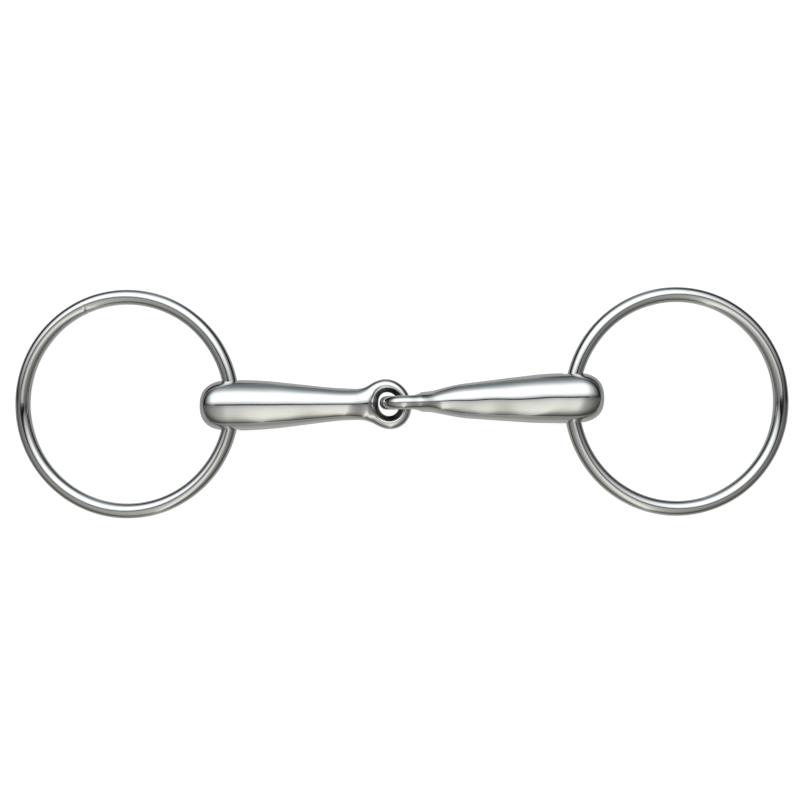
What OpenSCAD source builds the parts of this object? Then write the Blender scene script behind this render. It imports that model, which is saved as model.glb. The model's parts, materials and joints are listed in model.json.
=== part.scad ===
// Loose-ring snaffle bit with a hollow, single-jointed mouthpiece, lying flat.
// Millimetres, +Z up, +X along the mouthpiece. The origin is on the surface that the
// bit lies on, under the middle of its outline.

/* [Mouthpiece] */
// Mouth size, between the two ring holes
mouth_w = 125; // [110:1:150]
// Outside diameter of each half at its thick end
body_d = 18.3; // [16.5:0.1:21]
// Outside diameter of each half at its neck, behind the eye
neck_d = 11.3; // [10.5:0.1:12.5]
// From the ring hole to the end of the dome
dome_l = 11.05; // [10.5:0.05:14]
// Roundness of the dome: 2 is an ellipse, more is fuller
dome_power = 2.6; // [2:0.1:3]
// Wall of the hollow shells
shell_wall = 1.5; // [1:0.1:2]
// How much shorter the left half is than the right
left_short = 4.95; // [0:0.05:6]
// From the ring hole to the seam between the shell and the eye forging
seam_l = 34; // [30:0.5:36]

/* [Joint eyes] */
// Thickness of the stock that each eye is bent from
eye_stock = 5; // [4.2:0.1:5.6]
// Length of the flattening behind each eye
blade_l = 16; // [12:0.5:17]
// Length of the shank inside the shell
shank_l = 9; // [6:0.5:12]

/* [Rings] */
// Inside diameter of each ring
ring_id = 73; // [60:1:85]
// Thickness of the ring stock
ring_stock = 5.5; // [4.5:0.1:6]

/* [Ring bushes] */
// Play of the ring in the bore of its bush, on the diameter
bore_play = 1.5; // [1.4:0.1:2]
// Wall of the bush
bush_wall = 0.6; // [0.5:0.1:0.9]
// Running clearance of the bush in its shell, on the radius
bush_fit = 0.05; // [0.02:0.01:0.1]

/* [How it lies] */
// Turn of the left half from straight, degrees
left_lay = 0.45; // [-2:0.05:2]
// Turn of the right half from straight, degrees
right_lay = 1.55; // [-2:0.05:2]
// Turn of the left ring in its hole, degrees
left_slew = -1.15; // [-3.6:0.05:3.6]
// Turn of the right ring in its hole, degrees
right_slew = -3.5; // [-3.6:0.05:3.6]
// How far the right eye lies to one side of the left eye's middle
link_aside = 0.65; // [-1:0.05:1]

/* [Hidden] */

steel = [0.80, 0.81, 0.82];
steel_dark = [0.62, 0.63, 0.65];

$fn = 96;
body_r = body_d / 2;
neck_r = neck_d / 2;
// Both eyes are as wide as the thick ends, so the bit lies level
stock_r = eye_stock / 2;
eye_r = body_r - stock_r;
ring_r = (ring_id + ring_stock) / 2;
// The round bow of the ring across the thickness of the mouthpiece, shared about the bore
bow = body_r * body_r / (4 * ring_r);
// From a ring hole to the middle of its ring
span = ring_r - bow;

// The eyes hang centred in each other's holes
link_l = eye_r;
right_reach = (mouth_w - link_l + left_short) / 2;
left_reach = right_reach - left_short;

// The taper from the thick end to the neck, which it reaches short of the left eye
taper_from = 3;
neck_before_eye = 7.7;
taper_to = left_reach - neck_before_eye;

// Radius of a half at a distance s from its ring hole, towards the joint
function taper_r(s) =
    s <= taper_from ? body_r :
    s >= taper_to ? neck_r :
    neck_r + (body_r - neck_r) * (1 + cos(180 * (s - taper_from) / (taper_to - taper_from))) / 2;

// Radius of a dome of radius r and length l, at t of its length from its foot
function dome_r(r, t) = r * pow(max(0, 1 - pow(t, dome_power)), 1 / dome_power);

// Points (radius, distance) down one dome and along the taper
dome_steps = 14;
taper_steps = 22;
function dome_points(r, l) = [for (i = [0 : dome_steps - 1])
    let (t = cos(90 * i / dome_steps)) [dome_r(r, t), -l * t]];
function taper_points(less, to) = [for (i = [0 : taper_steps])
    let (s = to * i / taper_steps) [taper_r(s) - less, s]];

// The bush
bore_r = (ring_stock + bore_play) / 2;
bush_r = bore_r + bush_wall;
lip_r = (bore_r + bush_r) / 2;
// The flat ends lie just under the round of the shell, so the bush can turn
bush_below = 0.1;
bush_l = sqrt(body_r * body_r - bush_r * bush_r) - bush_below;
flare_l = 3.4;
// How far each cut runs on past the face it cuts
cut_over = 1;
flare_over = 0.01;

// The shank and its socket in the thin end of the shell
shank_fit = 0.05;
shank_end_gap = 0.5;
socket_step = 1.2;
socket_r = taper_r(seam_l) - shell_wall;
shank_r = socket_r - shank_fit;
socket_from = seam_l - shank_l;
cavity_to = socket_from - socket_step;

// Turns a profile about +Z into one about +X
module along_x() {
    rotate([0, 90, 0]) children();
}

// Hollow half of the mouthpiece: domed end, hole for the bush, open thin end
module shell() {
    outer = concat(dome_points(body_r, dome_l), taper_points(0, seam_l));
    cavity = concat(dome_points(body_r - shell_wall, dome_l - shell_wall),
                    taper_points(shell_wall, cavity_to));
    socket = [[socket_r, socket_from], [socket_r, seam_l + cut_over], [0, seam_l + cut_over]];
    difference() {
        along_x() rotate_extrude() polygon(concat(outer, [[0, seam_l]]));
        along_x() rotate_extrude() polygon(concat(cavity, socket));
        rotate([90, 0, 0])
            cylinder(r = bush_r + bush_fit, h = 3 * body_r, center = true);
    }
}

// Bush that lines the ring hole, with a flared mouth at each end
module ring_bush() {
    rotate([90, 0, 0]) difference() {
        cylinder(r = bush_r, h = 2 * bush_l, center = true);
        cylinder(r = bore_r, h = 2 * (bush_l + cut_over), center = true);
        for (side = [0, 1])
            mirror([0, 0, side]) translate([0, 0, bush_l - flare_l])
                cylinder(r1 = bore_r, r2 = lip_r, h = flare_l + flare_over);
    }
}

// Sections of the forging between the seam and the eye: [distance, half width, half thickness]
hole_r = eye_r - stock_r;
blade_steps = 9;
function blade_t(reach, s) = min(1, (reach - s - hole_r) / blade_l);
function half_thick(reach, s) = stock_r + (taper_r(s) - stock_r) * sin(90 * blade_t(reach, s));
function blade_sections(reach) =
    let (foot = reach - eye_r) [for (i = [0 : blade_steps])
        let (s = seam_l + (foot - seam_l) * i / blade_steps)
        [s, taper_r(s), half_thick(reach, s)]];
// Rounded nose, which ends inside the stock of the eye
nose_steps = 3;
nose_part = 0.96;
nose_l = 0.92 * stock_r;
function nose_sections(reach) =
    let (foot = reach - eye_r, thick = half_thick(reach, foot)) [for (i = [1 : nose_steps])
        let (t = nose_part * i / nose_steps, round = sqrt(1 - t * t))
        [foot + t * nose_l, neck_r * (1 + round) / 2, thick * round]];

// Closed solid through elliptical sections along +X, wide in Y
module through_sections(sections) {
    sides = 32;
    count = len(sections);
    points = [for (q = sections) for (i = [0 : sides - 1])
        [q[0], q[1] * cos(360 * i / sides), q[2] * sin(360 * i / sides)]];
    skin = [for (j = [0 : count - 2]) for (i = [0 : sides - 1])
        let (a = j * sides, b = (j + 1) * sides, n = (i + 1) % sides)
        each [[a + i, b + i, b + n], [a + i, b + n, a + n]]];
    near = [[for (i = [0 : sides - 1]) i]];
    far = [[for (i = [0 : sides - 1]) (count - 1) * sides + sides - 1 - i]];
    polyhedron(points, concat(skin, near, far));
}

// Forged joint eye: shank, tapering blade and closed eye
module joint_eye(reach) {
    translate([socket_from + shank_end_gap, 0, 0]) along_x()
        cylinder(r = shank_r, h = shank_l);
    through_sections(concat(blade_sections(reach), nose_sections(reach)));
    translate([reach, 0, 0])
        rotate_extrude() translate([eye_r, 0]) circle(r = stock_r);
}

// Round ring through the hole: turned in its plane by slew, and dropped about the hole
module loose_ring(slew) {
    drop = asin((body_r - ring_stock / 2) / (span * cos(slew) + ring_r));
    rotate([0, -drop, 0]) rotate([0, 0, slew]) translate([-span, 0, 0])
        rotate_extrude() translate([ring_r, 0]) circle(d = ring_stock);
}

// The middle of the left eye, placed so that the two rings' outline is centred on the origin
left_ring_xy = [-left_reach * cos(left_lay) - span * cos(left_lay + left_slew),
                -left_reach * sin(left_lay) - span * sin(left_lay + left_slew)];
right_ring_xy = [link_l + right_reach * cos(right_lay) + span * cos(right_lay + right_slew),
                 link_aside + right_reach * sin(right_lay) + span * sin(right_lay + right_slew)];
joint_xy = -(left_ring_xy + right_ring_xy) / 2;

// Frames at the ring holes: +X towards the joint, Y along the hole
module on_left() {
    translate([joint_xy[0], joint_xy[1], body_r]) rotate([0, 0, left_lay])
        translate([-left_reach, 0, 0]) children();
}
module on_right() {
    translate([joint_xy[0] + link_l, joint_xy[1] + link_aside, body_r])
        rotate([0, 0, 180 + right_lay]) translate([-right_reach, 0, 0]) children();
}

module left_ring() { color(steel) on_left() loose_ring(left_slew); }
module left_ring_bush() { color(steel_dark) on_left() ring_bush(); }
module left_shell() { color(steel) on_left() shell(); }
module left_eye() { color(steel) on_left() joint_eye(left_reach); }
module right_eye() { color(steel) on_right() rotate([90, 0, 0]) joint_eye(right_reach); }
module right_shell() { color(steel) on_right() shell(); }
module right_ring_bush() { color(steel_dark) on_right() ring_bush(); }
module right_ring() { color(steel) on_right() loose_ring(right_slew); }

left_ring();
left_ring_bush();
left_shell();
left_eye();
right_eye();
right_shell();
right_ring_bush();
right_ring();
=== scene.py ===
import json
import math
import bmesh
import bpy
import numpy as np
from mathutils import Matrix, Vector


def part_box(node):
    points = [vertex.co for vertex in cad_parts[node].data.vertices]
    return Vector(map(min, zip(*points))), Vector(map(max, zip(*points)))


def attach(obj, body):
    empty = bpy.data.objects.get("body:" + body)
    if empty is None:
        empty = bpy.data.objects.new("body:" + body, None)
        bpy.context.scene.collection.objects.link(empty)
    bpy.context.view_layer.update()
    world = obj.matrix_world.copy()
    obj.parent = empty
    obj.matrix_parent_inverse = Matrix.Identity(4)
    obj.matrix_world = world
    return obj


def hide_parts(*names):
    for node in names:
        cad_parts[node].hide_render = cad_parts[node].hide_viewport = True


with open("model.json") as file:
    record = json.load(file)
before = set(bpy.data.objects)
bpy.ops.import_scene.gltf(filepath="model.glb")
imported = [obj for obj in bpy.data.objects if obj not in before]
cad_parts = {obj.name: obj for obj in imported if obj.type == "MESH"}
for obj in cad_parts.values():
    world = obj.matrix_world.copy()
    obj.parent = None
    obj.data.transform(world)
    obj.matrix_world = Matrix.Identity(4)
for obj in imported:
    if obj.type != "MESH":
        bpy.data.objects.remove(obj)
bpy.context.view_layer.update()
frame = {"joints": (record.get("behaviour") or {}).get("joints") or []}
scene = bpy.context.scene
metresPerMm = 0.001  # shapes are worked out in millimetres and put into the mesh in metres

bitMake = dict(
    neckRadius=5.65,     # of a half behind its eye
    taperFrom=3.0,       # where the taper starts, from the ring hole
    taperEndsBefore=7.7,  # where it ends, before the middle of the eye
    seam=34.0,           # from the ring hole to the joint between shell and eye
    domeLength=11.05,
    domePower=2.6,
    shellWall=1.5,
)


def jointPlace(name):
    # a joint's point in mm and its axis
    found = next(j for j in frame["joints"] if j["name"] == name)
    return np.array(found["pos_m"]) / metresPerMm, np.array(found["axis"])


foldPoint, _ = jointPlace("mouthpiece_fold")
bodyRadius = foldPoint[2]  # the bit lies on its thick ends


def halfFrame(side):
    # a half's own frame: origin at its ring hole, x towards the joint, y along the hole, z up
    hole, axis = jointPlace(side + "_ring_swing")
    yDir = axis if side == "left" else -axis
    xDir = np.array([yDir[1], -yDir[0], 0.0])
    if side == "left":
        reach = np.linalg.norm(foldPoint - hole)
    else:
        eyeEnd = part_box("right_eye")[0].x / metresPerMm
        reach = (hole[0] - eyeEnd - bodyRadius) / abs(xDir[0])
    return dict(side=side, origin=hole, xDir=xDir, yDir=yDir, zDir=np.array([0.0, 0.0, 1.0]), reach=reach)


halves = {side: halfFrame(side) for side in ("left", "right")}


def intoRow(points, place):
    # x, y, z of a half's own frame -> the row frame
    return (place["origin"] + points[:, :1] * place["xDir"] + points[:, 1:2] * place["yDir"]
            + points[:, 2:3] * place["zDir"])


def gridQuads(rows, columns, closeRows=False, closeColumns=True):
    # quads of a rows x columns grid of points, wrapped round where it closes
    i = np.arange(rows if closeRows else rows - 1)[:, None]
    j = np.arange(columns if closeColumns else columns - 1)[None, :]
    nextI, nextJ = (i + 1) % rows, (j + 1) % columns
    quads = np.stack(np.broadcast_arrays(i * columns + j, nextI * columns + j,
                                         nextI * columns + nextJ, i * columns + nextJ), axis=-1)
    return quads.reshape(-1, 4)


def bandQuads(ringA, ringB):
    # quads between two closed rings of point numbers
    return np.stack([ringA, ringB, np.roll(ringB, -1), np.roll(ringA, -1)], axis=-1)


def fanTris(ring, tip):
    # triangles from a closed ring of point numbers to one point
    return np.stack([ring, np.full_like(ring, tip), np.roll(ring, -1)], axis=-1)


rippleMake = dict(waves=9, shortest=9.0, longest=30.0)


def handRipple(points, seed, height):
    # the slight unevenness of hand polishing: a sum of long plane waves, along the outward direction
    draw = np.random.default_rng(seed)
    total = np.zeros(len(points))
    for wave in range(rippleMake["waves"]):
        heading = draw.normal(size=3)
        heading /= np.linalg.norm(heading)
        length = draw.uniform(rippleMake["shortest"], rippleMake["longest"])
        phase = draw.uniform(0, 2 * np.pi)
        total += np.sin(points @ heading * 2 * np.pi / length + phase) * length / rippleMake["longest"]
    return total * height


def makePiece(name, points, quads, tris, body, node, material, sharpAngle=40, paintedShadeAndRough=None):
    # for each point, how much painted shade of the eye's hole (darker base colour) and extra roughness it
    # gets, 0 to 1
    mesh = bpy.data.meshes.new(name)
    faces = quads.tolist() + (tris.tolist() if tris is not None else [])
    mesh.from_pydata((points * metresPerMm).tolist(), [], faces)
    # painted shade of the eye's hole, kept as a point attribute
    shadeAndRough = mesh.attributes.new("paintedShadeAndRough", "FLOAT", "POINT")
    shadeAndRough.data.foreach_set("value", np.zeros(len(points)) if paintedShadeAndRough is None else paintedShadeAndRough)
    mesh.validate()
    mesh.shade_smooth()
    mesh.set_sharp_from_angle(angle=math.radians(sharpAngle))
    mesh.materials.append(material)
    piece = bpy.data.objects.new(name, mesh)
    scene.collection.objects.link(piece)
    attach(piece, body)
    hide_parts(node)
    print("made", name, len(mesh.polygons), "faces")
    return piece


# finishes

steelMake = dict(
    colour=(0.84, 0.845, 0.85),
    roughness=0.055,
    roughnessSpread=0.05,
    lineScale=260.0,      # fine polishing lines
    lineDetail=3.0,
    lineDepth=0.010,
    lineShade=0.90,       # how much darker the steel is between them
    bumpStrength=0.25,
    cloudScale=38.0,      # hazy patches
    cloudDetail=4.0,
    cloudFrom=0.35,
    cloudTo=0.75,
    scratchScale=95.0,
    scratchBendScale=60.0,
    scratchBend=0.012,    # metres
    scratchWidth=0.012,
    scratchFrom=0.60,     # scratches show only in the rarest patches
    scratchTo=0.68,
    scratchRoughness=0.10,
    scratchHeight=-0.5,
    # painted shade: darker base colour for the walls of the eye's hole
    paintedShadeColour=(0.30, 0.30, 0.295),
    missedRoughness=0.14,
)


def steelFinish(name, make, linesAlong=(1.0, 22.0, 22.0), dull=0.0):
    material = bpy.data.materials.new(name)
    material.use_nodes = True
    nodes, links = material.node_tree.nodes, material.node_tree.links
    nodes.clear()
    out = nodes.new("ShaderNodeOutputMaterial")
    shader = nodes.new("ShaderNodeBsdfPrincipled")
    links.new(shader.outputs["BSDF"], out.inputs["Surface"])
    shader.inputs["Metallic"].default_value = 1.0

    coord = nodes.new("ShaderNodeTexCoord")
    stretch = nodes.new("ShaderNodeMapping")
    stretch.inputs["Scale"].default_value = linesAlong
    links.new(coord.outputs["Object"], stretch.inputs["Vector"])

    lines = nodes.new("ShaderNodeTexNoise")  # polishing lines
    lines.inputs["Scale"].default_value = make["lineScale"]
    lines.inputs["Detail"].default_value = make["lineDetail"]
    links.new(stretch.outputs["Vector"], lines.inputs["Vector"])

    clouds = nodes.new("ShaderNodeTexNoise")  # slightly hazy patches
    clouds.inputs["Scale"].default_value = make["cloudScale"]
    clouds.inputs["Detail"].default_value = make["cloudDetail"]
    links.new(coord.outputs["Object"], clouds.inputs["Vector"])

    scratchWarp = nodes.new("ShaderNodeTexNoise")
    scratchWarp.inputs["Scale"].default_value = make["scratchBendScale"]
    links.new(coord.outputs["Object"], scratchWarp.inputs["Vector"])
    scratchPlace = nodes.new("ShaderNodeVectorMath")
    scratchPlace.operation = "MULTIPLY_ADD"
    scratchPlace.inputs[1].default_value = (make["scratchBend"],) * 3
    links.new(scratchWarp.outputs["Color"], scratchPlace.inputs[0])
    links.new(coord.outputs["Object"], scratchPlace.inputs[2])
    scratches = nodes.new("ShaderNodeTexVoronoi")  # cell borders, kept only in rare patches
    scratches.feature = "DISTANCE_TO_EDGE"
    scratches.inputs["Scale"].default_value = make["scratchScale"]
    links.new(scratchPlace.outputs["Vector"], scratches.inputs["Vector"])
    hair = nodes.new("ShaderNodeMapRange")
    hair.inputs["From Min"].default_value = 0.0
    hair.inputs["From Max"].default_value = make["scratchWidth"]
    hair.inputs["To Min"].default_value = 1.0
    hair.inputs["To Max"].default_value = 0.0
    links.new(scratches.outputs["Distance"], hair.inputs["Value"])
    rare = nodes.new("ShaderNodeMapRange")
    rare.inputs["From Min"].default_value = make["scratchFrom"]
    rare.inputs["From Max"].default_value = make["scratchTo"]
    links.new(clouds.outputs["Fac"], rare.inputs["Value"])
    marks = nodes.new("ShaderNodeMath")
    marks.operation = "MULTIPLY"
    links.new(hair.outputs["Result"], marks.inputs[0])
    links.new(rare.outputs["Result"], marks.inputs[1])

    haze = nodes.new("ShaderNodeMapRange")
    haze.inputs["From Min"].default_value = make["cloudFrom"]
    haze.inputs["From Max"].default_value = make["cloudTo"]
    haze.inputs["To Min"].default_value = make["roughness"] + dull
    haze.inputs["To Max"].default_value = make["roughness"] + make["roughnessSpread"] + dull
    links.new(clouds.outputs["Fac"], haze.inputs["Value"])
    rough = nodes.new("ShaderNodeMath")
    rough.operation = "MULTIPLY_ADD"
    rough.inputs[1].default_value = make["scratchRoughness"]
    links.new(marks.outputs["Value"], rough.inputs[0])
    links.new(haze.outputs["Result"], rough.inputs[2])
    # painted shade in the eye's hole, with extra roughness there
    shadeAndRough = nodes.new("ShaderNodeAttribute")
    shadeAndRough.attribute_name = "paintedShadeAndRough"
    rougher = nodes.new("ShaderNodeMath")
    rougher.operation = "MULTIPLY_ADD"
    rougher.inputs[1].default_value = make["missedRoughness"]
    links.new(shadeAndRough.outputs["Fac"], rougher.inputs[0])
    links.new(rough.outputs["Value"], rougher.inputs[2])
    links.new(rougher.outputs["Value"], shader.inputs["Roughness"])

    tone = nodes.new("ShaderNodeMix")
    tone.data_type = "RGBA"
    tone.inputs[6].default_value = (*make["colour"], 1.0)
    tone.inputs[7].default_value = (*[c * make["lineShade"] for c in make["colour"]], 1.0)
    links.new(lines.outputs["Fac"], tone.inputs[0])
    shadeMix = nodes.new("ShaderNodeMix")  # painted shade: darker grey base colour on the walls of the eye's hole
    shadeMix.data_type = "RGBA"
    shadeMix.inputs[7].default_value = (*make["paintedShadeColour"], 1.0)
    links.new(shadeAndRough.outputs["Fac"], shadeMix.inputs[0])
    links.new(tone.outputs[2], shadeMix.inputs[6])
    links.new(shadeMix.outputs[2], shader.inputs["Base Color"])

    height = nodes.new("ShaderNodeMath")
    height.operation = "MULTIPLY_ADD"
    height.inputs[1].default_value = make["scratchHeight"]
    links.new(marks.outputs["Value"], height.inputs[0])
    links.new(lines.outputs["Fac"], height.inputs[2])
    bump = nodes.new("ShaderNodeBump")
    bump.inputs["Strength"].default_value = make["bumpStrength"]
    bump.inputs["Distance"].default_value = make["lineDepth"] * metresPerMm
    links.new(height.outputs["Value"], bump.inputs["Height"])
    links.new(bump.outputs["Normal"], shader.inputs["Normal"])
    return material


mirrorSteel = steelFinish("mirrorSteel", steelMake)
ringSteel = steelFinish("ringSteel", steelMake, linesAlong=(9.0, 9.0, 22.0), dull=0.01)
# the bush's darker base colour is painted shade of the ring hole it sits in; its extra roughness is a duller
# finish
shadedBushMake = dict(steelMake, colour=(0.70, 0.70, 0.69))
shadedBushSteel = steelFinish("shadedBushSteel", shadedBushMake, linesAlong=(14.0, 3.0, 14.0), dull=0.10)
print("finishes ready")


# the two rings

ringMake = dict(
    aroundSteps=720,
    sectionSteps=64,
    ripple=0.012,
    weldAngle=dict(left=114.0, right=3.0),  # butt weld, degrees round from the ring's hole
    weldWidth=0.34,
    weldDepth=0.22,
    weldSide=0.6,         # where round the stock the mark is shallowest, radians
    weldSteps=33,
    weldStretch=3.0,      # how far the closer steps reach on each side, degrees
    weldClear=3.2,        # how far the plain steps stay away from it, degrees
    swellHeight=0.05,
    swellWidth=1.1,
    crossingTurn=0.4,     # the stretch searched for where the ring leaves its hole, radians
    crossingSteps=801,
    seed=dict(left=3, right=8),
)


def ringFrame(side):
    # a ring's centre, its own directions (x towards its hole) and its two radii
    centre, normal = jointPlace(side + "_ring_run")
    low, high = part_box(side + "_ring")
    outerRadius = (high.y - low.y) / 2 / metresPerMm
    tilt = math.sqrt(1 - normal[2] ** 2)
    middleRadius = (outerRadius - centre[2]) / (1 - tilt)  # its lowest point is on the ground
    xDir = halves[side]["origin"] - centre
    xDir -= normal * (xDir @ normal)
    xDir /= np.linalg.norm(xDir)
    return dict(centre=centre, xDir=xDir, yDir=np.cross(normal, xDir), normal=normal,
                middle=middleRadius, stock=outerRadius - middleRadius)


def ringPoints(ring, u, v, h):
    # torus: centre + (R + h cos v) (cos u, sin u) + h sin v * normal
    across = ring["middle"] + h * np.cos(v)
    return (ring["centre"] + (across * np.cos(u))[..., None] * ring["xDir"]
            + (across * np.sin(u))[..., None] * ring["yDir"] + (h * np.sin(v))[..., None] * ring["normal"])


def ringCrossing(half, sign):
    # how far the ring's stock reaches from the hole's middle where it leaves the half
    ring = ringFrame(half["side"])
    u = np.linspace(-ringMake["crossingTurn"], ringMake["crossingTurn"], ringMake["crossingSteps"])
    line = ringPoints(ring, u, np.zeros(len(u)), np.zeros(len(u))) - half["origin"]
    along = line @ half["yDir"] * sign
    offset = np.hypot(line @ half["xDir"], line @ half["zDir"])
    order = np.argsort(along)
    return float(np.interp(bodyRadius, along[order], offset[order])) + ring["stock"]


def ringSurface(side):
    # the torus with a dip and a slight swelling at its weld
    m = ringMake
    ring = ringFrame(side)
    normal, xDir, yDir = ring["normal"], ring["xDir"], ring["yDir"]
    weld = math.radians(m["weldAngle"][side])
    near = np.linspace(-1, 1, m["weldSteps"]) ** 3 * math.radians(m["weldStretch"])
    u = np.linspace(0, 2 * np.pi, m["aroundSteps"], endpoint=False)
    gap = np.abs(np.angle(np.exp(1j * (u - weld))))
    u = np.sort(np.concatenate([u[gap > math.radians(m["weldClear"])], (weld + near) % (2 * np.pi)]))
    v = np.linspace(0, 2 * np.pi, m["sectionSteps"], endpoint=False)
    uGrid, vGrid = np.meshgrid(u, v, indexing="ij")
    away = np.angle(np.exp(1j * (uGrid - weld))) * ring["middle"]  # mm along the stock
    inward = 0.5 - 0.5 * np.cos(vGrid - m["weldSide"])
    dip = m["weldDepth"] * np.exp(-(away / m["weldWidth"]) ** 2) * inward
    swell = m["swellHeight"] * np.exp(-(away / m["swellWidth"]) ** 2) * inward
    h = ring["stock"] - dip + swell
    points = ringPoints(ring, uGrid, vGrid, h).reshape(-1, 3)
    outward = (np.cos(vGrid)[..., None] * (np.cos(uGrid)[..., None] * xDir + np.sin(uGrid)[..., None] * yDir)
               + np.sin(vGrid)[..., None] * normal).reshape(-1, 3)
    points += outward * handRipple(points, m["seed"][side], m["ripple"])[:, None]
    points[:, 2] = np.maximum(points[:, 2], 0.0)
    return points, gridQuads(len(u), len(v), closeRows=True)


for side in ("left", "right"):
    points, quads = ringSurface(side)
    makePiece(side + "Ring", points, quads, None, side + "_ring", side + "_ring", ringSteel)


# the hollow halves

shellMake = dict(
    windowLength=6.3,     # half the stretch that is laid out round the hole
    tipRows=26,
    windowRows=36,
    bodyRows=84,
    aroundSteps=160,
    windowColumns=19,     # half the columns of that stretch
    patchRings=9,
    holeRadius=4.15,
    mouthPlay=0.16,       # of the ring in the mouth of its hole, on the radius
    mouthRound=0.16,
    lipUnder=8.1,         # where the underside of the mouth's lip lies, from the half's axis
    roundSteps=4,
    ripple=0.05,
    rippleFade=9.0,       # length over which it dies away before the eye
    seed=dict(left=21, right=34),
)


def taperRadius(s, reach):
    # full radius, then half a cosine wave down to the neck, then level
    ends = reach - bitMake["taperEndsBefore"]
    t = np.clip((s - bitMake["taperFrom"]) / (ends - bitMake["taperFrom"]), 0, 1)
    neck = bitMake["neckRadius"]
    return neck + (bodyRadius - neck) * (1 + np.cos(np.pi * t)) / 2


def shellRadius(s, reach, inset):
    # dome r (1 - t^p)^(1/p) before the hole, taper after it, both taken in by inset
    t = np.clip(-s / (bitMake["domeLength"] - inset), 0, 1)
    dome = (bodyRadius - inset) * (1 - t ** bitMake["domePower"]) ** (1 / bitMake["domePower"])
    return np.where(s < 0, dome, taperRadius(np.maximum(s, 0), reach) - inset)


def holedSkin(reach, inset, mouths):
    # skin of revolution about x: (s, r(s) cos phi, r(s) sin phi)
    # a square round each end of the hole is relaid as rings that shrink to its mouth
    m = shellMake
    tipLength = bitMake["domeLength"] - inset
    fromTip = np.linspace(0, math.acos(m["windowLength"] / tipLength), m["tipRows"] + 1)[1:]
    s = np.concatenate([-tipLength * np.cos(fromTip),
                        np.linspace(-m["windowLength"], m["windowLength"], m["windowRows"] + 1)[1:],
                        np.linspace(m["windowLength"], bitMake["seam"], m["bodyRows"] + 1)[1:]])
    rows, columns = len(s), m["aroundSteps"]
    phi = np.arange(columns) * 2 * np.pi / columns  # from the hole's direction
    radius = shellRadius(s, reach, inset)
    grid = np.stack([np.broadcast_to(s[:, None], (rows, columns)), radius[:, None] * np.cos(phi),
                     radius[:, None] * np.sin(phi)], axis=-1).reshape(-1, 3)
    quads = gridQuads(rows, columns)
    firstRow, lastRow = m["tipRows"] - 1, m["tipRows"] - 1 + m["windowRows"]
    half = m["windowColumns"]
    quadRow, quadColumn = quads[:, 0] // columns, quads[:, 0] % columns
    inRows = (quadRow >= firstRow) & (quadRow < lastRow)
    points, rims = [grid], []
    count = len(grid)
    kept = np.ones(len(quads), bool)
    extra = []
    for middle, sign, mouth in ((0, 1.0, mouths[0]), (columns // 2, -1.0, mouths[1])):
        column = (quadColumn - middle + columns // 2) % columns - columns // 2
        kept &= ~(inRows & (column >= -half) & (column < half))
        # the square's edge, once round
        across = np.arange(-half, half)
        along = np.arange(firstRow, lastRow)
        edgeRow = np.concatenate([np.full(2 * half, firstRow), along,
                                  np.full(2 * half, lastRow), along[::-1] + 1])
        edgeColumn = np.concatenate([across, np.full(len(along), half),
                                     across[::-1] + 1, np.full(len(along), -half)])
        edge = edgeRow * columns + (edgeColumn + middle) % columns
        flat = grid[edge][:, [0, 2]]
        angle = np.unwrap(np.arctan2(flat[:, 1], flat[:, 0]))
        even = angle[0] + np.sign(angle[1] - angle[0]) * np.arange(len(edge)) * 2 * np.pi / len(edge)
        angle = (angle + even) / 2
        circle = np.stack([np.cos(angle), np.sin(angle)], axis=-1)
        reachOut = mouth + m["mouthRound"] if mouth else m["holeRadius"]
        rings = []
        for w in np.linspace(0, 1, m["patchRings"] + 1)[1:]:
            spot = flat * (1 - w) + circle * reachOut * w
            y = np.sqrt(np.maximum(shellRadius(spot[:, 0], reach, inset) ** 2 - spot[:, 1] ** 2, 0))
            rings.append(np.stack([spot[:, 0], sign * y, spot[:, 1]], axis=-1))
        if mouth:
            for turn in np.linspace(0, np.pi / 2, m["roundSteps"] + 1)[1:]:
                spot = circle * (mouth + m["mouthRound"] * (1 - math.sin(turn)))
                y = np.sqrt(shellRadius(spot[:, 0], reach, inset) ** 2 - spot[:, 1] ** 2)
                y = y - m["mouthRound"] * (1 - math.cos(turn))
                rings.append(np.stack([spot[:, 0], sign * y, spot[:, 1]], axis=-1))
            for lipRadius in (mouth, m["holeRadius"]):  # underside of the lip that covers the bush
                spot = circle * lipRadius
                under = np.full(len(spot), sign * m["lipUnder"])
                rings.append(np.stack([spot[:, 0], under, spot[:, 1]], axis=-1))
        previous = edge
        for ring in rings:
            numbers = np.arange(count, count + len(ring))
            extra.append(bandQuads(previous, numbers))
            points.append(ring)
            previous = numbers
            count += len(ring)
        rims.append(previous)
    points.append(np.array([[-tipLength, 0.0, 0.0]]))
    tip = fanTris(np.arange(columns), count)
    allQuads = np.concatenate([quads[kept]] + extra)
    mouth = np.arange((rows - 1) * columns, rows * columns)
    return np.concatenate(points), allQuads, tip, rims, mouth


def polishRipple(local, half):
    # the ripple of a half, square to its axis; shell and eye share it where they meet
    outward = local * [0.0, 1.0, 1.0]
    outward /= np.maximum(np.linalg.norm(outward, axis=1, keepdims=True), 1e-6)
    before = np.clip((half["reach"] - bodyRadius - local[:, 0]) / shellMake["rippleFade"], 0, 1)
    wave = handRipple(local, shellMake["seed"][half["side"]], shellMake["ripple"])
    return outward * (wave * before ** 2 * (3 - 2 * before))[:, None]


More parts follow.
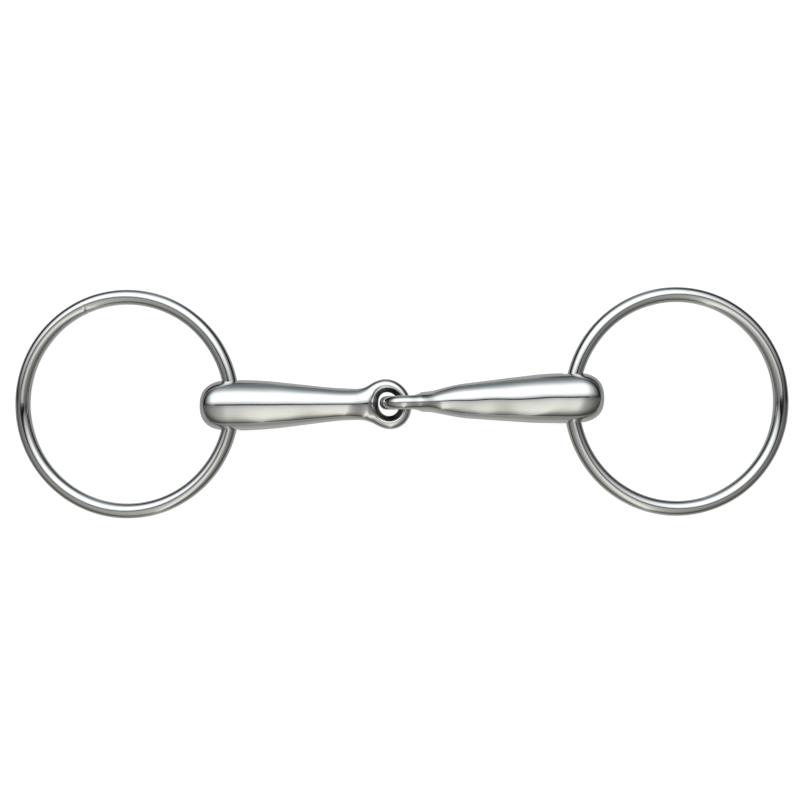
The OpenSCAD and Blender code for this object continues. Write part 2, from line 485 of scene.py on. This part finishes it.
def shellSurface(half):
    # outer skin, the same skin taken in by the wall, the hole's wall and the thin end's rim between them
    reach = half["reach"]
    mouths = [ringCrossing(half, sign) + shellMake["mouthPlay"] for sign in (1, -1)]
    outer, outerQuads, outerTip, outerRims, outerMouth = holedSkin(reach, 0.0, mouths)
    inner, innerQuads, innerTip, innerRims, innerMouth = holedSkin(reach, bitMake["shellWall"], (None, None))
    outer += polishRipple(outer, half)
    shift = len(outer)
    joins = [bandQuads(outerRims[0], innerRims[0] + shift), bandQuads(outerRims[1], innerRims[1] + shift),
             bandQuads(outerMouth, innerMouth + shift)]
    quads = np.concatenate([outerQuads, innerQuads[:, ::-1] + shift] + joins)
    tris = np.concatenate([outerTip, innerTip[:, ::-1] + shift])
    return intoRow(np.concatenate([outer, inner]), half), quads, tris


def fixNormals(piece):
    # faces outward, whichever way each patch was laid
    work = bmesh.new()
    work.from_mesh(piece.data)
    bmesh.ops.recalc_face_normals(work, faces=work.faces)
    work.to_mesh(piece.data)
    work.free()


for side, half in halves.items():
    points, quads, tris = shellSurface(half)
    shell = makePiece(side + "Shell", points, quads, tris, side + "_half", side + "_shell", mirrorSteel)
    fixNormals(shell)


# the joint eyes

eyeMake = dict(
    stock=2.5,            # radius of the stock
    bladeLength=dict(left=11.0, right=18.0),  # flattening behind the eye
    bladePower=dict(left=1.0, right=1.2),
    widen=dict(left=0.0, right=1.7),       # how much wider the blade is where it meets the eye
    widenLength=4.6,
    noseLength=2.3,
    blend=dict(left=5.5, right=5.0),
    wallSlope=50.0,       # slope of the hole's hammered wall, degrees
    wallCut=1.85,         # how near the stock's middle it cuts
    wallBlend=0.7,
    # how strong the painted shade in each eye's hole is
    shadeAndRough=dict(left=1.0, right=0.5),
    paintedShadeFrom=0.35,      # where the painted shade on the hole's wall starts, inward of the stock's middle
    paintedShadeEase=0.7,
    oval=dict(left=0.93, right=0.985),     # along the half
    lean=dict(left=-0.09, right=0.02),     # sideways set of the hammered eye
    shift=dict(left=0.7, right=0.05),
    aroundSteps=168,
    sectionSteps=64,
    patchAround=21,       # half the patch where the blade joins, in steps
    patchSection=15,
    bladeRows=74,
    firstSteps=6,         # steps onto the surface before, in each turn of and after the relaxing
    turnSteps=1,
    lastSteps=4,
    relaxSteps=40,
    relaxPull=0.5,
    probe=0.01,           # mm either way, for the field's slope
    leastSlope=0.05,
    furthest=1.0,         # the most that one step may move a point
    shankLength=8.5,
    shankPlay=1.55,
)


def smoothLeast(a, b, k):
    # the lesser of a and b, rounded over k so that its curvature has no break
    h = np.maximum(k - np.abs(a - b), 0) / k
    return np.minimum(a, b) - h ** 3 * k / 6


def eyeField(points, reach, side):
    # below 0 inside: a ring of round stock joined smoothly to an elliptical blade with a rounded nose
    m = eyeMake
    x, y, z = points.T
    eyeRadius = bodyRadius - m["stock"]
    lx = (x - reach - m["lean"][side] * y - m["shift"][side]) / m["oval"][side]
    inward = eyeRadius - np.sqrt(lx ** 2 + y ** 2)
    ring = np.sqrt(inward ** 2 + z ** 2) - m["stock"]
    slope = math.radians(m["wallSlope"])
    wall = np.abs(z) * math.cos(slope) + inward * math.sin(slope) - m["wallCut"]
    ring = -smoothLeast(-ring, -wall, m["wallBlend"])
    foot = reach - eyeRadius
    near = np.exp(-((foot - np.minimum(x, foot)) / m["widenLength"]) ** 2)
    width = taperRadius(x, reach) + m["widen"][side] * near
    t = np.clip((reach - x - (eyeRadius - m["stock"])) / m["bladeLength"][side], 0, 1)
    rise = np.sin(np.pi / 2 * t) ** m["bladePower"][side]
    thick = m["stock"] + (taperRadius(x, reach) - m["stock"]) * rise
    nose = np.maximum(x - foot, 0) / m["noseLength"]
    k0 = np.sqrt((y / width) ** 2 + (z / thick) ** 2 + nose ** 2)
    k1 = np.sqrt((y / width ** 2) ** 2 + (z / thick ** 2) ** 2 + (nose / m["noseLength"]) ** 2)
    blade = k0 * (k0 - 1) / np.maximum(k1, 1e-6)
    return smoothLeast(ring, blade, m["blend"][side])


def ontoField(points, reach, side, steps):
    # Newton steps along the field's slope: p - f(p) f'(p) / |f'(p)|^2
    m = eyeMake
    for step in range(steps):
        value = eyeField(points, reach, side)
        rises = [eyeField(points + d, reach, side) - eyeField(points - d, reach, side)
                 for d in np.eye(3) * m["probe"]]
        slope = np.stack([rise / (2 * m["probe"]) for rise in rises], axis=-1)
        move = value / np.maximum((slope ** 2).sum(axis=1), m["leastSlope"])
        points = points - np.clip(move, -m["furthest"], m["furthest"])[:, None] * slope
    return points


def eyeSurface(half):
    # the ring's grid of points round its stock, with a patch left out, and a tube of straight lines
    # from the seam's circle to the patch's edge, both relaxed onto the field
    m = eyeMake
    side, reach = half["side"], half["reach"]
    eyeRadius = bodyRadius - m["stock"]
    rows, columns = m["aroundSteps"], m["sectionSteps"]
    u = np.arange(rows) * 2 * np.pi / rows + np.pi  # row 0 faces the blade
    v = np.arange(columns) * 2 * np.pi / columns    # column 0 faces outward
    uGrid, vGrid = np.meshgrid(u, v, indexing="ij")
    across = eyeRadius + m["stock"] * np.cos(vGrid)
    ringY = across * np.sin(uGrid)
    ringX = across * np.cos(uGrid) * m["oval"][side] + m["lean"][side] * ringY + m["shift"][side]
    ring = np.stack([reach + ringX, ringY, m["stock"] * np.sin(vGrid)], axis=-1).reshape(-1, 3)
    quads = gridQuads(rows, columns, closeRows=True)
    quadRow = (quads[:, 0] // columns + rows // 2) % rows - rows // 2
    quadColumn = (quads[:, 0] % columns + columns // 2) % columns - columns // 2
    a, b = m["patchAround"], m["patchSection"]
    quads = quads[~((quadRow >= -a) & (quadRow < a) & (quadColumn >= -b) & (quadColumn < b))]
    alongTop, alongSide = np.arange(-a, a), np.arange(-b, b)
    edgeRow = np.concatenate([alongTop, np.full(2 * b, a), alongTop[::-1] + 1, np.full(2 * b, -a)])
    edgeColumn = np.concatenate([np.full(2 * a, b), alongSide[::-1] + 1, np.full(2 * a, -b), alongSide])
    edge = (edgeRow % rows) * columns + edgeColumn % columns
    edgePoints = ring[edge]
    start = math.atan2(edgePoints[0, 2], edgePoints[0, 1])
    second = math.atan2(edgePoints[a, 2], edgePoints[a, 1])
    turn = 1.0 if math.sin(second - start) > 0 else -1.0
    count = len(edge)
    cornerTurn = 2 * np.pi / count * a  # puts the middle of the top edge straight up
    angle = np.pi / 2 + turn * (np.arange(count) * 2 * np.pi / count - cornerTurn)

    def circleAt(s, radius):
        return np.stack([np.full(count, s), radius * np.cos(angle), radius * np.sin(angle)], axis=-1)

    seam = bitMake["seam"]
    seamRadius = float(taperRadius(seam, reach))
    circle = circleAt(seam, seamRadius)
    w = np.arange(m["bladeRows"])[:, None, None] / m["bladeRows"]
    tube = (circle * (1 - w) + edgePoints * w).reshape(-1, 3)
    shift = len(ring)
    tubeQuads = gridQuads(m["bladeRows"], count) + shift
    lastTube = np.arange(count) + shift + (m["bladeRows"] - 1) * count
    quads = np.concatenate([quads, tubeQuads, bandQuads(lastTube, edge)])
    points = np.concatenate([ring, tube])
    used = np.zeros(len(points), bool)
    used[quads] = True
    number = np.cumsum(used) - 1
    quads, points = number[quads], points[used]
    pinned = number[np.arange(count) + shift]

    # each point goes towards its neighbours' mean, then back onto the field
    links = np.concatenate([quads[:, [0, 1]], quads[:, [1, 2]], quads[:, [2, 3]], quads[:, [3, 0]]])
    links = np.concatenate([links, links[:, ::-1]])
    degree = np.bincount(links[:, 0], minlength=len(points))
    held = points[pinned].copy()
    points = ontoField(points, reach, side, m["firstSteps"])
    for step in range(m["relaxSteps"]):
        sums = [np.bincount(links[:, 0], points[links[:, 1], axis], len(points)) for axis in range(3)]
        mean = np.stack(sums, axis=-1) / degree[:, None]
        points = points + m["relaxPull"] * (mean - points)
        points = ontoField(points, reach, side, m["turnSteps"])
        points[pinned] = held
    points = ontoField(points, reach, side, m["lastSteps"])
    points[pinned] = held

    # shank inside the shell: rim, wall and end
    shankRadius = seamRadius - m["shankPlay"]
    shank = [circleAt(seam, shankRadius), circleAt(seam - m["shankLength"], shankRadius)]
    first = len(points) + np.arange(count)
    quads = np.concatenate([quads, bandQuads(first, pinned), bandQuads(first + count, first)])
    points = np.concatenate([points] + shank + [np.array([[seam - m["shankLength"], 0.0, 0.0]])])
    tris = fanTris(first + count, len(points) - 1)
    return points, quads, tris


def holePaintedShade(points, half):
    # painted shade on the hole's wall, with extra roughness: t^2 (3 - 2t), with t from 0 on the crest of the
    # ring to 1 on the wall of its hole
    m = eyeMake
    side = half["side"]
    lx = (points[:, 0] - half["reach"] - m["lean"][side] * points[:, 1] - m["shift"][side]) / m["oval"][side]
    inward = bodyRadius - m["stock"] - np.hypot(lx, points[:, 1])
    t = np.clip((inward - m["paintedShadeFrom"]) / m["paintedShadeEase"], 0, 1)
    return t * t * (3 - 2 * t) * m["shadeAndRough"][side]


for side, half in halves.items():
    points, quads, tris = eyeSurface(half)
    # painted shade of the hole, darker and rougher towards its wall
    shadeAndRough = holePaintedShade(points, half)
    if side == "right":
        points = points[:, [0, 2, 1]] * [1.0, -1.0, 1.0]  # a quarter turn: this eye stands upright
    points += polishRipple(points, half)
    points = intoRow(points, half)
    eye = makePiece(side + "Eye", points, quads, tris, side + "_half", side + "_eye", mirrorSteel,
                    paintedShadeAndRough=shadeAndRough)
    fixNormals(eye)


# the bushes in the ring holes

bushMake = dict(
    outerRadius=4.1,
    halfLength=8.02,      # up to its shoulder, behind the lip of the hole
    ringPlay=0.06,        # between the ring and the bush's curved bore
    neckPlay=0.05,        # between the bush's neck and the lip of the shell
    crownGap=0.04,        # how far its crown stays below the round of the half
    crownRows=6,
    boreRows=24,
    aroundSteps=96,
    slideSteps=12,
    probeTurn=0.1,        # radians, to tell which way round the ring a line slides
)


def bushSurface(half):
    # wall, shoulder and neck are circles about the hole, the crown is a sphere's cap,
    # and the bore follows the ring's own round
    m = bushMake
    ring = ringFrame(half["side"])
    steps = np.arange(m["aroundSteps"]) * 2 * np.pi / m["aroundSteps"]
    crownRadius = bodyRadius - m["crownGap"]

    def crownHeight(rho):
        return np.sqrt(crownRadius ** 2 - rho ** 2)

    def boreLine(u):
        row = ringPoints(ring, u, steps, np.full(len(u), ring["stock"] + m["ringPlay"])) - half["origin"]
        return np.stack([row @ half["xDir"], row @ half["yDir"], row @ half["zDir"]], axis=-1)

    ends, borePlaces = [], []
    for sign in (1, -1):
        u = np.full(len(steps), 0.0)
        heading = np.sign((boreLine(u + m["probeTurn"]) - boreLine(u))[0, 1]) * sign
        for step in range(m["slideSteps"]):  # slide each line of the bore to the crown
            spot = boreLine(u)
            short = crownHeight(np.hypot(spot[:, 0], spot[:, 2])) - spot[:, 1] * sign
            u = u + heading * short / ring["middle"]
        mouth = boreLine(u)
        turn = np.arctan2(mouth[:, 2], mouth[:, 0])
        neck = ringCrossing(half, sign) + shellMake["mouthPlay"] - m["neckPlay"]

        def circle(radius, height):
            level = np.full(len(turn), sign * height)
            return np.stack([radius * np.cos(turn), level, radius * np.sin(turn)], axis=-1)

        rows = [circle(m["outerRadius"], m["halfLength"]), circle(neck, m["halfLength"])]
        for w in np.linspace(0, 1, m["crownRows"] + 1):
            spot = circle(neck, 0.0) * (1 - w) + mouth * w
            spot[:, 1] = sign * crownHeight(np.hypot(spot[:, 0], spot[:, 2]))
            rows.append(spot)
        ends.append(rows)
        borePlaces.append(u)
    w = np.linspace(0, 1, m["boreRows"] + 1)[1:-1]
    bore = [boreLine(borePlaces[0] * (1 - part) + borePlaces[1] * part) for part in w]
    rows = ends[0] + bore + ends[1][::-1]
    return intoRow(np.concatenate(rows), half), gridQuads(len(rows), len(steps), closeRows=True)


for side, half in halves.items():
    points, quads = bushSurface(half)
    bush = makePiece(side + "Bush", points, quads, None, side + "_bush", side + "_ring_bush", shadedBushSteel)
    fixNormals(bush)


# camera

cameraMake = dict(
    place=(-0.7, 1.0, 450.0),  # mm, looking straight down
    lens=54.4,
    sensor=36.0,
)
camera = bpy.data.objects.new("overheadCamera", bpy.data.cameras.new("overheadCamera"))
camera.data.lens = cameraMake["lens"]
camera.data.sensor_width = cameraMake["sensor"]
camera.location = np.array(cameraMake["place"]) * metresPerMm
scene.collection.objects.link(camera)
scene.camera = camera
scene.view_settings.view_transform = "Standard"
print("camera ready")


# floor

floorMake = dict(
    halfSize=6.0,        # metres
    drop=0.0001,         # metres, how far it lies under the bit
    white=0.45,
    glow=0.88,           # light of its own, so it is nearly white with soft shadows
)


def paperFloor(make):
    size, drop = make["halfSize"], -make["drop"]
    mesh = bpy.data.meshes.new("paperFloor")
    corners = [(-size, -size, drop), (size, -size, drop), (size, size, drop), (-size, size, drop)]
    mesh.from_pydata(corners, [], [(0, 1, 2, 3)])
    material = bpy.data.materials.new("whitePaper")
    material.use_nodes = True
    nodes, links = material.node_tree.nodes, material.node_tree.links
    nodes.clear()
    diffuse = nodes.new("ShaderNodeBsdfDiffuse")
    diffuse.inputs["Color"].default_value = (make["white"], make["white"], make["white"], 1.0)
    lit = nodes.new("ShaderNodeEmission")
    lit.inputs["Strength"].default_value = make["glow"]
    both = nodes.new("ShaderNodeAddShader")
    links.new(diffuse.outputs["BSDF"], both.inputs[0])
    links.new(lit.outputs["Emission"], both.inputs[1])
    out = nodes.new("ShaderNodeOutputMaterial")
    links.new(both.outputs[0], out.inputs["Surface"])
    mesh.materials.append(material)
    floor = bpy.data.objects.new("paperFloor", mesh)
    floor.visible_glossy = False  # the steel mirrors the studio's own lower half instead
    scene.collection.objects.link(floor)


paperFloor(floorMake)


# studio light: two soft overhead panels with a gap between them, darker towards the ends

lightMake = dict(
    # angle from straight up towards +Y, degrees, and how bright it is there
    across=[
        (-180, 0.42), (-150, 0.46), (-125, 0.46), (-115, 0.35), (-107, 0.30), (-99, 0.34), (-92, 0.42),
        (-79, 0.62), (-67, 0.84), (-55, 0.96), (-30, 0.90), (-16, 0.82), (-5, 0.64), (0, 0.60),
        (4, 0.30), (9, 0.62), (13, 0.90), (18, 1.10), (24, 1.38), (58, 1.30), (67, 1.02), (73, 0.77),
        (79, 0.56), (85, 0.42), (92, 0.29), (100, 0.21), (108, 0.20), (116, 0.29), (122, 0.40),
        (137, 0.46), (180, 0.42),
    ],
    # the same angle and the tint of the light
    tint=[
        (-180, (0.98, 1.0, 0.96)), (-120, (0.98, 1.0, 0.94)), (-70, (1.0, 1.0, 0.90)),
        (-20, (1.0, 1.0, 0.93)), (5, (0.98, 1.0, 1.0)), (60, (0.975, 1.0, 1.01)), (85, (0.91, 1.0, 1.03)),
        (110, (0.91, 1.0, 1.03)), (125, (0.98, 1.0, 0.95)), (180, (0.98, 1.0, 0.96)),
    ],
    # angle from straight up towards +X, and what is left of the light there
    alongBright=[
        (-180, 1.0), (-106, 0.70), (-96, 0.06), (-84, 0.01), (-75, 0.05), (-66, 0.14), (-56, 0.32),
        (-47, 0.60), (-40, 0.86), (-32, 1.0), (16, 1.0), (25, 0.84), (36, 0.50), (48, 0.25), (66, 0.06),
        (84, 0.01), (96, 0.06), (106, 0.70), (180, 1.0),
    ],
    alongWarm=[
        (-180, 1.0), (-106, 0.70), (-96, 0.16), (-78, 0.14), (-62, 0.22), (-46, 0.34), (-30, 0.44),
        (-20, 0.52), (-13, 0.62), (-9, 0.76), (-5, 0.92), (0, 1.0), (6, 1.05), (10, 1.0), (14, 0.80),
        (20, 0.52), (30, 0.36), (46, 0.24), (62, 0.16), (78, 0.12), (96, 0.16), (106, 0.70), (180, 1.0),
    ],
    brightSpread=0.55,   # how much further the bright panel reaches towards its outer side
    # dark gap between the two panels: across and along
    gap=[(-180, 0.0), (-0.9, 0.0), (0.2, 1.0), (4.5, 1.0), (6.2, 0.0), (180, 0.0)],
    gapLength=[(-180, 0.0), (-36, 0.0), (-26, 1.0), (26, 1.0), (36, 0.0), (180, 0.0)],
    gapMiddle=2.3,       # the bright panel lies beyond this angle, the other short of it
    backdrop=1.05,       # past the edge of the floor
)


def studioLight(make):
    world = bpy.data.worlds.new("studioLight")
    world.use_nodes = True
    scene.world = world
    nodes, links = world.node_tree.nodes, world.node_tree.links
    nodes.clear()
    coord = nodes.new("ShaderNodeTexCoord")
    parts = nodes.new("ShaderNodeSeparateXYZ")
    links.new(coord.outputs["Generated"], parts.inputs[0])

    def math2(operation, first, second=None):
        node = nodes.new("ShaderNodeMath")
        node.operation = operation
        for socket, value in ((node.inputs[0], first), (node.inputs[1], second)):
            if value is None:
                continue
            if isinstance(value, (int, float)):
                socket.default_value = value
            else:
                links.new(value, socket)
        return node.outputs[0]

    def ramp(source, stops, low, high):
        node = nodes.new("ShaderNodeValToRGB")
        spread = nodes.new("ShaderNodeMapRange")
        spread.inputs["From Min"].default_value = math.radians(low)
        spread.inputs["From Max"].default_value = math.radians(high)
        links.new(source, spread.inputs["Value"])
        links.new(spread.outputs["Result"], node.inputs["Fac"])
        elements = node.color_ramp.elements
        while len(elements) < len(stops):
            elements.new(0.5)
        for element, (angle, level) in zip(elements, stops):
            element.position = (angle - low) / (high - low)
        for element, (angle, level) in zip(elements, stops):
            element.color = (*level, 1.0) if isinstance(level, tuple) else (level, level, level, 1.0)
        return node.outputs["Color"]

    def multiply(first, second):
        node = nodes.new("ShaderNodeMix")
        node.data_type = "RGBA"
        node.blend_type = "MULTIPLY"
        node.inputs[0].default_value = 1.0
        links.new(first, node.inputs[6])
        links.new(second, node.inputs[7])
        return node.outputs[2]

    acrossAngle = math2("ARCTAN2", parts.outputs["Y"], parts.outputs["Z"])
    alongAngle = math2("ARCTAN2", parts.outputs["X"], parts.outputs["Z"])
    acrossLight = multiply(ramp(acrossAngle, make["across"], -180, 180),
                           ramp(acrossAngle, make["tint"], -180, 180))
    outward = math2("ABSOLUTE", parts.outputs["Y"])
    spread = math2("ADD", parts.outputs["Z"], math2("MULTIPLY", outward, make["brightSpread"]))
    bright = ramp(math2("ARCTAN2", parts.outputs["X"], spread), make["alongBright"], -180, 180)
    warm = ramp(alongAngle, make["alongWarm"], -180, 180)
    isBright = math2("GREATER_THAN", acrossAngle, math.radians(make["gapMiddle"]))
    gapDark = math2("MULTIPLY", ramp(acrossAngle, make["gap"], -180, 180),
                    ramp(alongAngle, make["gapLength"], -180, 180))

    choose = nodes.new("ShaderNodeMix")
    choose.data_type = "RGBA"
    links.new(isBright, choose.inputs[0])
    links.new(warm, choose.inputs[6])
    links.new(bright, choose.inputs[7])

    lit = nodes.new("ShaderNodeBackground")
    links.new(multiply(acrossLight, choose.outputs[2]), lit.inputs["Color"])
    links.new(math2("SUBTRACT", 1.0, gapDark), lit.inputs["Strength"])
    plain = nodes.new("ShaderNodeBackground")
    plain.inputs["Strength"].default_value = make["backdrop"]
    plain.inputs["Color"].default_value = (1.0, 1.0, 1.0, 1.0)
    path = nodes.new("ShaderNodeLightPath")
    pick = nodes.new("ShaderNodeMixShader")
    links.new(path.outputs["Is Camera Ray"], pick.inputs[0])
    links.new(lit.outputs[0], pick.inputs[1])
    links.new(plain.outputs[0], pick.inputs[2])
    out = nodes.new("ShaderNodeOutputWorld")
    links.new(pick.outputs[0], out.inputs["Surface"])


studioLight(lightMake)
print("light ready")
